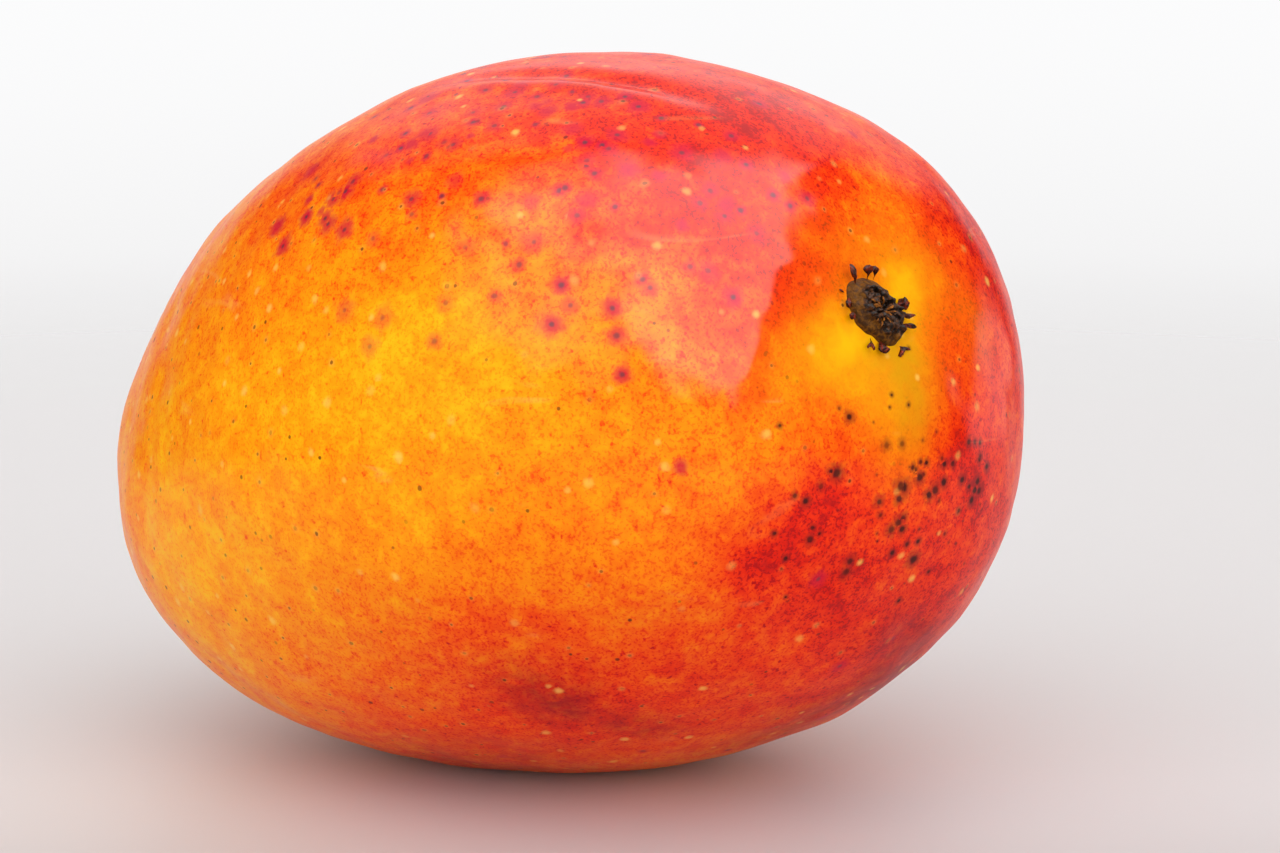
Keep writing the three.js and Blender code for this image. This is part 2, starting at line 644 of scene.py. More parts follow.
    def draped(self, level: np.ndarray, upward: np.ndarray, height: np.ndarray) -> np.ndarray:
        """Lays places modelled flat round the stem on the skin.

        Args:
            level: millimetres along the skin towards the far side.
            upward: millimetres along the skin upwards.
            height: millimetres out from the skin.

        Returns:
            Millimetres in the row frame.
        """
        point, level_way, upward_way = self.seat()
        flat = point + level[..., None] * level_way + upward[..., None] * upward_way
        directions = flat / np.linalg.norm(flat, axis=-1, keepdims=True)
        return self.settled(directions * (self.egg(directions) + height)[..., None])

    def clock_of(self, node: str) -> tuple[float, float]:
        """Finds where a packed scale stands round the stem.

        Args:
            node: the CAD node's name.

        Returns:
            The clock angle in radians, 0 towards the far side and a quarter turn up, and the distance
            in mm from the stem's middle.
        """
        low, high = (np.array(corner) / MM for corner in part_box(node))
        point, level_way, upward_way = self.seat()
        outward = np.cross(level_way, upward_way)
        ray = (low + high) / 2 - self.heart()
        flat = ray * (point @ outward) / (ray @ outward) - point
        level, upward = flat @ level_way, flat @ upward_way
        return math.atan2(upward, level), math.hypot(level, upward)


# ---------------------------------------------------------------- the skin


@dataclass(frozen=True)
class Wash:
    """A soft patch on the skin: where, how wide in degrees, and how much it adds in its middle."""

    turn: float
    climb: float
    spread: float
    amount: float


def washed(directions: np.ndarray, washes: Sequence[Wash]) -> np.ndarray:
    """Adds up patches: the sum of each one's amount times its bell.

    Args:
        directions: unit vectors, in rows.
        washes: the patches.

    Returns:
        The sum for each direction.
    """
    return sum(w.amount * bell(directions, w.turn, w.climb, w.spread) for w in washes)


@dataclass(frozen=True)
class Mottle:
    """One size of cloud in the blush: its lumps in mm, their detail and twist, and how much it stirs."""

    size: float
    detail: float
    wander: float
    share: float

    def stir(self, s: Sketch) -> Socket:
        """What the clouds add to the blush, as much below 0 as above it."""
        return s.times(s.grain(self.size, self.detail, self.wander), self.share)


@dataclass(frozen=True)
class Freckle:
    """One size of freckle: its lumps in mm, the noise at which it starts and is full, and its share."""

    size: float
    start: float
    full: float
    share: float

    def redden(self, s: Sketch) -> Socket:
        """What the freckles add to the blush."""
        return s.times(s.ease(s.grain(self.size, 1), self.start, self.full), self.share)


@dataclass(frozen=True)
class Dab:
    """A round dab of colour: how far out it ends, where it is full, and how much it covers there."""

    end: float
    full: float
    cover: float
    colour: Colour

    def extent(self, s: Sketch, away: Socket, strength: str) -> Socket:
        """How much of a dab there is: 1 in the middle of a strong one.

        Args:
            s: the material.
            away: how far the place is from the dab's middle, in the unit that end and full are in.
            strength: what the mesh stores its strength under.

        Returns:
            A number from 0 to 1.
        """
        return s.times(s.ease(away, self.end, self.full), s.stored(strength))

    def over(self, s: Sketch, colour: Socket, extent: Socket) -> Socket:
        """Lays the dab on a colour, as far as its extent says."""
        return s.mix(s.times(extent, self.cover), colour, self.colour)


@dataclass(frozen=True)
class SkinFinish:
    """Waxy skin, golden where the blush is 0 and through orange and red to crimson where it is 1."""

    roughness: float = 0.42
    roughness_stir: float = 0.12
    dry_roughness: float = 0.25  # what a dark blot adds
    shine: float = 0.03
    wax: float = 0.27
    wax_roughness: float = 0.12
    relief: float = 0.06  # in mm
    mottles: tuple[Mottle, ...] = (
        Mottle(6.0, 3, 0.5, 0.38),
        Mottle(2.6, 3, 0.6, 0.5),
        Mottle(1.1, 2, 0.4, 0.34),
    )
    freckles: tuple[Freckle, ...] = (Freckle(0.33, 0.0, 0.17, 0.17), Freckle(0.75, 0.14, 0.26, 0.2))
    blush_offset: float = -0.08
    ripening: tuple[tuple[float, Colour], ...] = (
        (0.0, tone(255, 186, 16)),
        (0.2, tone(255, 160, 6)),
        (0.4, tone(252, 130, 4)),
        (0.58, tone(247, 92, 4)),
        (0.74, tone(238, 54, 4)),
        (0.88, tone(222, 26, 5)),
        (1.0, tone(178, 12, 12)),
    )
    stem_yellow: Colour = tone(250, 184, 4)
    stem_yellow_cover: float = 0.9
    moss: Colour = tone(204, 150, 8)
    moss_cover: float = 0.6
    # painted shade under the fruit, along the top fold and at the lower right, and dark red patches on the
    # far side
    shade_and_dark_red: Colour = tone(140, 6, 24)
    shade_and_dark_red_stir: float = 2.2
    shade_and_dark_red_limit: float = 0.85
    burn_flush: Dab = Dab(1.3, 0.25, 0.93, tone(202, 6, 50))
    burn_core: Dab = Dab(0.42, 0.12, 0.8, tone(74, 52, 62))
    pore_ring: Dab = Dab(0.7, 0.1, 0.6, tone(255, 206, 96))
    pore_dot: Dab = Dab(0.27, 0.13, 0.85, tone(70, 26, 14))
    blot_stain: Dab = Dab(1.7, 0.5, 0.6, tone(120, 22, 22))
    blot_core: Dab = Dab(0.72, 0.25, 0.9, tone(24, 12, 12))
    scuff: Colour = tone(255, 205, 120)
    scuff_cover: float = 0.16
    scuff_stretch: tuple[float, float, float] = (0.35, 0.35, 1.6)

    def ground(self, s: Sketch) -> Socket:
        """Makes the skin's colour before any spots: the blush, stirred by clouds and fine freckles.

        Args:
            s: the material.

        Returns:
            The colour.
        """
        clouds = [mottle.stir(s) for mottle in self.mottles]
        freckles = [freckle.redden(s) for freckle in self.freckles]
        return s.ramp(s.total(s.stored("blush"), *clouds, *freckles, self.blush_offset), self.ripening)

    def shaded(self, s: Sketch, colour: Socket) -> Socket:
        """Lays on the yellow round the stem, the green-gold below it and the dark patches: painted shade
        under the fruit, along the top fold and at the lower right, and dark red on the far side.

        Args:
            s: the material.
            colour: the skin's colour so far.

        Returns:
            The new colour.
        """
        glow = s.math("ADD", 1.0, s.grain(2.2, 3, 0.5))
        yellow = s.times(s.times(s.stored("halo"), glow), self.stem_yellow_cover)
        colour = s.mix(yellow, colour, self.stem_yellow)
        green = s.times(s.times(s.stored("moss"), glow), self.moss_cover)
        colour = s.mix(green, colour, self.moss)
        # painted shade, with dark red patches on the far side, stirred by clouds and capped at the limit
        stir = s.times(s.grain(2.4, 3, 0.8), s.times(s.stored("shade_and_dark_red"), self.shade_and_dark_red_stir))
        shade_and_dark_red = s.math("ADD", s.stored("shade_and_dark_red"), stir)
        return s.mix(s.math("MINIMUM", shade_and_dark_red, self.shade_and_dark_red_limit), colour, self.shade_and_dark_red)

    def spotted(self, s: Sketch, colour: Socket) -> tuple[Socket, Socket, Socket]:
        """Lays on the crimson burns, the pores and the dark blots, each with a slightly wavy edge.

        Args:
            s: the material.
            colour: the skin's colour so far.

        Returns:
            The new colour, how much of a pit there is, and how much of a dry blot.
        """
        waver = s.math("ADD", 1.0, s.times(s.grain(0.9, 2), 1.1))

        def apart(kind: str) -> Socket:
            """How far the nearest mark of a kind is, in mm, with the waver in it."""
            return s.times(s.away(kind + "_middle"), waver)

        burn_at = apart("burn")
        burn = s.math("DIVIDE", burn_at, s.stored("burn_size"))
        colour = self.burn_flush.over(s, colour, self.burn_flush.extent(s, burn, "burn_strength"))
        grey = self.burn_core.extent(s, burn_at, "burn_core")
        colour = self.burn_core.over(s, colour, grey)

        pore = s.math("DIVIDE", apart("pore"), s.stored("pore_size"))
        colour = self.pore_ring.over(s, colour, self.pore_ring.extent(s, pore, "pore_halo"))
        dot = self.pore_dot.extent(s, pore, "pore_core")
        colour = self.pore_dot.over(s, colour, dot)

        blot = s.math("DIVIDE", apart("blot"), s.stored("blot_size"))
        colour = self.blot_stain.over(s, colour, self.blot_stain.extent(s, blot, "blot_strength"))
        dry = self.blot_core.extent(s, blot, "blot_strength")
        colour = self.blot_core.over(s, colour, dry)
        return colour, s.total(dot, dry, grey), dry

    def material(self) -> bpy.types.Material:
        """Builds the skin's material.

        Returns:
            The material, which reads blush, halo, moss, the painted shade with its dark red patches, and
            the three kinds of spots from the mesh.
        """
        s = Sketch("mango_skin")
        colour, pits, dry = self.spotted(s, self.shaded(s, self.ground(s)))
        rubbed = s.ease(s.grain(6.0, 2, 1.2, at=s.place(self.scuff_stretch)), 0.16, 0.3)
        colour = s.mix(s.times(rubbed, self.scuff_cover), colour, self.scuff)
        waves = s.times(s.grain(1.6, 2), 0.5)
        ripple = s.times(s.grain(0.45, 1), 0.2)
        height = s.total(waves, ripple, s.times(pits, -0.35), 0.5)
        stir = s.times(s.grain(3.0, 2), self.roughness_stir)
        return s.finish(
            Base_Color=colour,
            Roughness=s.total(self.roughness, stir, s.times(dry, self.dry_roughness)),
            Normal=s.bump(height, self.relief),
            Coat_Weight=self.wax,
            Coat_Roughness=self.wax_roughness,
            Specular_IOR_Level=self.shine,
        )


@dataclass(frozen=True)
class Crowd:
    """Marks strewn round a middle: how widely in degrees, how many, how wide in mm and how strong."""

    turn: float
    climb: float
    spread: float
    count: int
    radii: tuple[float, float]
    strengths: tuple[float, float] = (0.8, 1.0)

    def marks(self, random: np.random.Generator) -> tuple[np.ndarray, np.ndarray, np.ndarray]:
        """Strews the marks: each is pushed from the middle by normal steps of spread / sqrt 2.

        Args:
            random: where the pushes, sizes and strengths come from.

        Returns:
            Their directions in rows, their radii and their strengths.
        """
        step = math.radians(self.spread) / math.sqrt(2)
        centres = heading(self.turn, self.climb) + random.normal(0, step, (self.count, 3))
        centres /= np.linalg.norm(centres, axis=1, keepdims=True)
        return centres, random.uniform(*self.radii, self.count), random.uniform(*self.strengths, self.count)


def crowded(crowds: Sequence[Crowd], random: np.random.Generator) -> list[np.ndarray]:
    """Strews the marks of some crowds, one crowd after the other.

    Args:
        crowds: the crowds.
        random: where the marks come from.

    Returns:
        All the marks' directions in rows, their radii and their strengths.
    """
    rows = [crowd.marks(random) for crowd in crowds]
    return [np.concatenate(column) for column in zip(*rows)]


def strewn(count: int, seed: int, jitter: float = 0.45) -> np.ndarray:
    """Spreads directions evenly over the sphere on a golden spiral, each pushed a little at random.

    Args:
        count: how many.
        seed: which random pushes.
        jitter: how far they are pushed, as a share of the distance between neighbours.

    Returns:
        Unit vectors, in rows.
    """
    order = np.arange(count) + 0.5
    height = 1 - 2 * order / count
    angle = order * math.pi * (3 - math.sqrt(5))
    level = np.sqrt(1 - height**2)
    spiral = np.stack([level * np.cos(angle), level * np.sin(angle), height], axis=-1)
    step = math.sqrt(4 * math.pi / count)
    pushed = spiral + np.random.default_rng(seed).normal(0, jitter * step, (count, 3))
    return pushed / np.linalg.norm(pushed, axis=1, keepdims=True)


@dataclass(frozen=True)
class Skin:
    """The fruit's skin: a fine grid with its pole at the stem, and the colours stored on it."""

    form: FruitForm
    rings: int = 232
    around: int = 400
    crowding: float = 0.45  # how much closer the rings lie at the stem than if all were evenly spaced
    seed: int = 21
    drift: float = 0.07  # how far the washes' edges wander, as a share of the fruit's radius
    drift_size: float = 9.0
    base_blush: float = 0.43
    washes: tuple[Wash, ...] = (
        Wash(-48, 12, 17, -0.22),
        Wash(-84, -4, 24, -0.15),
        Wash(-62, -6, 13, -0.04),
        Wash(-22, 24, 12, 0.18),
        Wash(-45, 34, 12, 0.14),
        Wash(-86, 12, 12, 0.06),
        Wash(2, 24, 6, -0.1),
        Wash(-4, 36, 9, 0.16),
        Wash(-16, 27, 8, 0.1),
        Wash(-16, -6, 3, 0.22),
        Wash(-12, -5, 3, 0.2),
        Wash(8, -3, 4, 0.16),
        Wash(-88, -24, 15, -0.13),
        Wash(-72, 38, 13, 0.20),
        Wash(-38, 50, 19, 0.20),
        Wash(-8, 42, 22, 0.30),
        Wash(20, 15, 18, 0.38),
        Wash(-12, 18, 8, 0.16),
        Wash(8, -16, 21, 0.42),
        Wash(-9, -7, 7, 0.22),
        Wash(-26, -26, 17, 0.33),
        Wash(-50, -44, 20, 0.2),
        Wash(70, 30, 34, 0.34),
        Wash(120, 55, 28, 0.24),
        Wash(60, -20, 22, 0.22),
        Wash(110, -15, 24, -0.12),
        Wash(165, 5, 26, -0.10),
        Wash(-150, 30, 22, 0.16),
        Wash(-140, -10, 20, -0.16),
        Wash(150, -50, 30, -0.08),
    )
    # first two: painted shade along the top fold; next seven: painted shade under the fruit and at the
    # lower right; last four: dark red patches on the far side
    shade_and_dark_red: tuple[Wash, ...] = (
        Wash(-24, 42, 3, 0.22),
        Wash(-34, 46, 3, 0.2),
        Wash(-31, -24, 4.5, 0.68),
        Wash(-21, -29, 4.5, 0.42),
        Wash(-40, -52, 12, 0.35),
        Wash(2, -14, 4, 0.25),
        Wash(7, -19, 4.5, 0.42),
        Wash(13, -25, 6, 0.6),
        Wash(5, -30, 8, 0.5),
        Wash(85, 38, 9, 0.3),
        Wash(98, 22, 6, 0.28),
        Wash(60, 8, 6, 0.24),
        Wash(-135, 48, 6, 0.22),
    )
    halo_strength: float = 1.3
    halo_spread: float = 7.2
    halo_drop: float = 1.5  # degrees below the stem
    moss_below: tuple[float, float, float] = (3.0, -7.0, 4.0)  # turn and climb from the stem, and spread
    pores: int = 2300
    dark_pores: float = 0.6  # the share with a dark dot, and the share with a pale ring
    ringed_pores: float = 0.6
    ring_beside_dot: float = 0.4  # how strong a ring is round a dark dot
    burns: tuple[Crowd, ...] = (
        Crowd(-22, 31, 5, 12, (0.9, 1.6)),
        Crowd(-31, 36, 6, 12, (1.0, 1.5), (0.6, 1.0)),
        Crowd(-45, 41, 10, 12, (1.1, 1.5), (0.5, 0.9)),
        Crowd(-66, 32, 6, 8, (1.3, 1.6)),
        Crowd(-8, 31, 5, 7, (1.0, 1.4)),
        Crowd(-16, 23, 4, 5, (1.1, 1.6), (0.5, 1.0)),
        Crowd(-32, 21, 7, 9, (1.2, 1.7), (0.6, 1.0)),
        Crowd(-26, 13, 6, 4, (1.2, 1.4)),
        Crowd(-48, 20, 10, 7, (1.1, 1.8), (0.3, 0.6)),
    )
    strays_strewn: int = 2000  # before most are left out, where stray_washes are low
    stray_washes: tuple[Wash, ...] = (
        Wash(75, 40, 28, 0.2),
        Wash(-150, 45, 24, 0.26),
        Wash(-36, 42, 17, 1.3),
        Wash(25, 30, 18, 0.2),
        Wash(-10, -28, 24, 0.14),
    )
    cored_burns: float = 0.75
    blots: tuple[Crowd, ...] = (
        Crowd(-3, -3, 5, 18, (0.6, 1.1)),
        Crowd(-1, 0, 8, 22, (0.35, 0.7), (0.6, 1.0)),
        Crowd(7, -3, 3, 8, (0.6, 0.85)),
        Crowd(-11, -3, 4, 7, (0.45, 0.7)),
        Crowd(3, -8, 3, 5, (0.4, 0.6)),
        Crowd(-7, 4, 1, 1, (0.7, 0.8)),
    )
    specks_strewn: int = 5200
    speck_washes: tuple[Wash, ...] = (Wash(0, 0, 9, 0.8), Wash(12, -14, 16, 0.12), Wash(95, 20, 16, 0.1))

    def grid(self) -> tuple[np.ndarray, np.ndarray]:
        """Works out the grid's directions from the heart.

        A ring's angle from the stem is pi (c u + (1 - c) u^2), where u goes evenly from 0 to 1 and c is
        the crowding, and the points are evenly spaced round it.

        Returns:
            The stem's direction, and directions as rings x points round x 3.
        """
        pole = heading(*self.form.stem)
        level = np.cross((0.0, 0.0, 1.0), pole)
        level /= np.linalg.norm(level)
        upward = np.cross(pole, level)
        u = np.linspace(0, 1, self.rings + 2)[1:-1]
        away = math.pi * (self.crowding * u + (1 - self.crowding) * u**2)[:, None, None]
        round_ = np.linspace(0, 2 * math.pi, self.around, endpoint=False)[None, :, None]
        return pole, np.cos(away) * pole + np.sin(away) * (np.cos(round_) * level + np.sin(round_) * upward)

    def places(self, directions: np.ndarray) -> np.ndarray:
        """Where the skin is along each direction, in mm in the row frame."""
        return self.form.settled(directions * self.form.reach(directions)[..., None])

    def store_spots(
        self, mesh: bpy.types.Mesh, name: str, centres: np.ndarray, size: np.ndarray, **facts: np.ndarray
    ) -> None:
        """Stores, for each face, the middle of the nearest mark and that mark's facts.

        Args:
            mesh: the skin's mesh.
            name: what kind of mark.
            centres: the marks' directions.
            size: the marks' radii, in mm.
            facts: more about each mark, such as its strength.
        """
        faces = np.empty(3 * len(mesh.polygons), np.float32)
        mesh.polygons.foreach_get("center", faces)
        middles = self.places(centres)
        which = nearest(faces.reshape(-1, 3) / MM, middles, size)
        write_numbers(mesh, name + "_middle", middles[which])
        for fact, values in {"size": size, **facts}.items():
            write_numbers(mesh, f"{name}_{fact}", values[which])

    def store_washes(self, mesh: bpy.types.Mesh, directions: np.ndarray) -> None:
        """Stores the blush, the painted shade with its dark red patches, and the yellow and green-gold
        round the stem.

        The directions are stirred first, by clouds on the skin, so that no patch has a round edge.

        Args:
            mesh: the skin's mesh.
            directions: its vertices' directions from the heart.
        """
        at = self.places(directions)
        drift = np.stack([cloud(at, self.drift_size, seed) for seed in (11, 12, 13)], axis=-1)
        stirred = directions + self.drift * drift
        stirred /= np.linalg.norm(stirred, axis=1, keepdims=True)
        turn, climb = self.form.stem
        halo = self.halo_strength * bell(stirred, turn, climb - self.halo_drop, self.halo_spread)
        aside, below, spread = self.moss_below
        write_numbers(mesh, "blush", np.clip(self.base_blush + washed(stirred, self.washes), 0, 1))
        # the painted shade and dark red patches
        write_numbers(mesh, "shade_and_dark_red", washed(stirred, self.shade_and_dark_red))
        write_numbers(mesh, "halo", np.minimum(halo, 1))
        write_numbers(mesh, "moss", bell(stirred, turn + aside, climb + below, spread))

    def store_pores(self, mesh: bpy.types.Mesh, random: np.random.Generator) -> None:
        """Stores the pores, evenly strewn: some with a dark dot, some with a pale ring.

        Args:
            mesh: the skin's mesh.
            random: where their strengths and sizes come from.
        """
        dark = random.uniform(0.2, 1, self.pores) * (random.random(self.pores) < self.dark_pores)
        ringed = random.uniform(0.3, 1, self.pores) * (random.random(self.pores) < self.ringed_pores)
        ringed = np.where(dark > 0, self.ring_beside_dot * ringed, ringed)
        size = random.uniform(0.7, 1.25, self.pores)
        self.store_spots(mesh, "pore", strewn(self.pores, self.seed + 1), size, core=dark, halo=ringed)

    def store_burns(self, mesh: bpy.types.Mesh, random: np.random.Generator) -> None:
        """Stores the crimson burns, those of the crowds and the strays between them.

        Args:
            mesh: the skin's mesh.
            random: where their places, sizes and strengths come from.
        """
        strays = strewn(self.strays_strewn, self.seed + 2, 0.8)
        strays = strays[random.random(len(strays)) < washed(strays, self.stray_washes)]
        centres, radii, strengths = crowded(self.burns, random)
        centres = np.concatenate([centres, strays])
        radii = np.concatenate([radii, random.uniform(0.55, 1.35, len(strays))])
        strengths = np.concatenate([strengths, random.uniform(0.45, 1, len(strays))])
        cores = np.where(random.random(len(radii)) < self.cored_burns, strengths, 0)
        self.store_spots(mesh, "burn", centres, radii, strength=strengths, core=cores)

    def store_blots(self, mesh: bpy.types.Mesh, random: np.random.Generator) -> None:
        """Stores the near-black blots, those of the crowds and the specks among them.

        Args:
            mesh: the skin's mesh.
            random: where their places, sizes and strengths come from.
        """
        centres, radii, strengths = crowded(self.blots, random)
        specks = strewn(self.specks_strewn, self.seed + 3, 0.9)
        specks = specks[random.random(len(specks)) < washed(specks, self.speck_washes)]
        centres = np.concatenate([centres, specks])
        radii = np.concatenate([radii, random.uniform(0.14, 0.34, len(specks))])
        strengths = np.concatenate([strengths, random.uniform(0.4, 1, len(specks))])
        self.store_spots(mesh, "blot", centres, radii, strength=strengths)

    def build(self) -> bpy.types.Object:
        """Builds and paints the skin.

        Returns:
            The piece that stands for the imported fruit.
        """
        pole, rings = self.grid()
        ends = self.places(np.stack([pole, -pole]))
        piece = new_object("mango_skin", [closed(self.places(rings), ends[0], ends[1])])
        self.store_washes(piece.data, np.concatenate([pole[None], rings.reshape(-1, 3), -pole[None]]))
        random = np.random.default_rng(self.seed)
        self.store_pores(piece.data, random)
        self.store_burns(piece.data, random)
        self.store_blots(piece.data, random)
        worn(piece, SkinFinish().material())
        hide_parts("fruit")
        return piece


# ---------------------------------------------------------------- the stem


@dataclass(frozen=True)
class CorkFinish:
    """Dry cork: an olive-brown collar and a near-black torn core with a few paler fibres."""

    roughness: float = 0.46
    shine: float = 0.12
    relief: float = 0.12  # in mm
    collar: tuple[Colour, Colour] = (tone(54, 29, 6), tone(112, 68, 10))
    core: tuple[Colour, Colour] = (tone(16, 8, 4), tone(86, 46, 14))
    crack: Colour = tone(14, 9, 7)
    crack_cover: float = 0.85

    def material(self) -> bpy.types.Material:
        """Builds the cork's material.

        Returns:
            The material, which reads collar and cracks from the mesh.
        """
        s = Sketch("stem_cork")
        grain = s.grain(0.5, 4, 0.5)
        collar = s.mix(s.ease(grain, -0.15, 0.2), *self.collar)
        core = s.mix(s.ease(s.grain(0.35, 4), -0.1, 0.25), *self.core)
        edge = s.ease(s.math("ADD", s.stored("collar"), s.times(grain, 0.7)), 0.35, 0.65)
        colour = s.mix(s.times(s.stored("cracks"), self.crack_cover), s.mix(edge, core, collar), self.crack)
        height = s.math("ADD", s.times(s.grain(0.3, 3), 0.9), s.times(s.grain(0.12, 2), 0.5))
        return s.finish(
            Base_Color=colour,
            Roughness=s.total(self.roughness, s.times(grain, 0.5), s.times(s.stored("collar"), 0.1)),
            Normal=s.bump(height, self.relief),
            Specular_IOR_Level=self.shine,
        )


@dataclass(frozen=True)
class StemStub:
    """The corky button where the stalk broke off, with a smooth collar and a cracked, torn middle."""

    form: FruitForm
    radius: float = 3.85
    long_way: float = 130.0  # the clock angle of its longer way across
    oval: float = 0.19
    lobes: tuple[tuple[int, float, float], ...] = ((5, 0.04, 0.6), (3, 0.03, 2.0), (11, 0.015, 0.0))
    top_share: float = 0.8  # of the rings; the others are its underside
    sunk: float = 0.35
    collar_height: float = 1.05
    collar_lumps: Lumps = Lumps(0.1, 0.9, 35)
    core_middle: tuple[float, float] = (0.55, 0.1)  # level and upward from the stub's middle
    core_height: float = 1.7
    core_radius: float = 2.3
    core_narrow: float = 0.72  # its width, as a share of its length the long way
    core_edge: float = 0.13
    core_wander: Lumps = Lumps(0.4, 0.8, 31)
    core_lumps: tuple[Lumps, ...] = (Lumps(0.42, 0.55, 33), Lumps(0.2, 0.28, 34))
    crack_count: int = 9
    crack_wander: Lumps = Lumps(0.9, 0.9, 32)
    crack_width: float = 0.2
    crack_depth: float = 0.55
    uncracked: float = 0.35  # the radius of the core's middle without cracks
    hollow_middle: tuple[float, float] = (0.9, 0.7)
    hollow_size: float = 0.9  # the square of its radius
    hollow_depth: float = 0.75
    rings: int = 76
    around: int = 132

    def outline(self, angle: np.ndarray) -> np.ndarray:
        """Works out the edge's distance from the middle: an oval, 1 + o cos 2(angle - long way), and lobes.

        Args:
            angle: clock angles, in radians.

        Returns:
            Millimetres.
        """
        edge = 1 + self.oval * np.cos(2 * (angle - math.radians(self.long_way)))
        waves = sum(depth * np.cos(count * angle + turn) for count, depth, turn in self.lobes)
        return self.radius * (edge + waves)

    def core(self, flat: np.ndarray) -> tuple[np.ndarray, np.ndarray]:
        """Works out where the torn core and its cracks are.

        The core is 1 / (1 + e^((r - radius + wander) / edge)), where r is the distance from its middle,
        shortened the long way. The cracks are bells across the zeros of sin(count / 2 x clock angle).

        Args:
            flat: places on the plane round the stub, in rows, in mm.

        Returns:
            The core and its cracks, each from 0 to 1.
        """
        from_middle = flat[..., :2] - np.array(self.core_middle)
        lengthwise = from_middle @ heading(self.long_way, 0)[:2]
        crosswise = from_middle @ heading(self.long_way - 90, 0)[:2]
        distance = np.hypot(lengthwise * self.core_narrow, crosswise)
        past_edge = distance - self.core_radius + self.core_wander.over(flat)
        core = 1 / (1 + np.exp(past_edge / self.core_edge))
        clock = np.arctan2(from_middle[..., 1], from_middle[..., 0])
        spokes = np.abs(np.sin(self.crack_count / 2 * clock + self.crack_wander.over(flat) + 0.4))
        cracks = np.exp(-((spokes * distance / self.crack_width) ** 2)) * core * (distance > self.uncracked)
        return core, cracks

    def top(self, flat: np.ndarray, share: np.ndarray, core: np.ndarray, cracks: np.ndarray) -> np.ndarray:
        """Works out the top's height: a collar h (1 - r^6), the lumpy core, its cracks and its hollow.

        Args:
            flat: places on the plane round the stub, in rows, in mm.
            share: r, how far out each is, as a share of the way to the edge.
            core: how much each is in the core.
            cracks: how much each is in a crack.

        Returns:
            Millimetres.
        """
        aside = flat[..., :2] - np.array(self.hollow_middle)
        hollow = np.exp(-np.sum(aside**2, axis=-1) / self.hollow_size)
        lumps = sum(lumps.over(flat) for lumps in self.core_lumps)
        collar = self.collar_height * (1 - share**6) + self.collar_lumps.over(flat) * (1 - share**8)
        mound = core * (self.core_height - self.collar_height + lumps)
        return collar + mound - self.crack_depth * cracks - self.hollow_depth * hollow * core

    def build(self) -> bpy.types.Object:
        """Builds the stub as a closed surface round its own middle.

        The rings run out over the top, whose height fades into the sunk edge by r^12, and back
        along the underside.

        Returns:
            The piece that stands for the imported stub.
        """
        u = np.linspace(0, 1, self.rings + 2)[1:-1, None]
        angle = np.linspace(0, 2 * math.pi, self.around, endpoint=False)[None]
        share = np.where(u < self.top_share, u / self.top_share, (1 - u) / (1 - self.top_share))
        reach = share * self.outline(angle)
        level, upward = reach * np.cos(angle), reach * np.sin(angle)
        flat = np.stack([level, upward, np.zeros_like(level)], axis=-1)
        core, cracks = self.core(flat)
        top = self.top(flat, share, core, cracks)
        height = np.where(u < self.top_share, top * (1 - share**12) - self.sunk * share**12, -self.sunk)
        ends = self.form.draped(np.zeros(2), np.zeros(2), np.array([top[0].mean(), -self.sunk]))
        surface = closed(self.form.draped(level, upward, height), ends[0], ends[1])
        piece = new_object("stem_button", [surface])
        for name, values in (("collar", 1 - core), ("cracks", cracks)):
            write_numbers(piece.data, name, np.concatenate([[values[0].mean()], values.ravel(), [0.0]]))
        worn(piece, CorkFinish().material())
        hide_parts("stem_stub")
        return piece


@dataclass(frozen=True)
class HuskFinish:
    """Dried sepal: dark and brittle, red-brown where it is thin."""

    name: str = "sepal_husk"
    dark: Colour = tone(34, 10, 6)
    thin: Colour = tone(140, 44, 16)
    roughness: float = 0.4
    shine: float = 0.12
    relief: float = 0.07  # in mm

    def material(self) -> bpy.types.Material:
        """Builds the husk's material.

        Returns:
            The material.
        """
        s = Sketch(self.name)
        height = s.math("ADD", s.grain(0.22, 3), s.times(s.grain(0.09, 1), 0.4))
        return s.finish(
            Base_Color=s.mix(s.ease(s.grain(0.45, 3, 0.5), -0.12, 0.3), self.dark, self.thin),
            Roughness=s.total(self.roughness, s.times(s.grain(0.3, 2), 0.3)),
            Normal=s.bump(height, self.relief),
            Specular_IOR_Level=self.shine,
        )


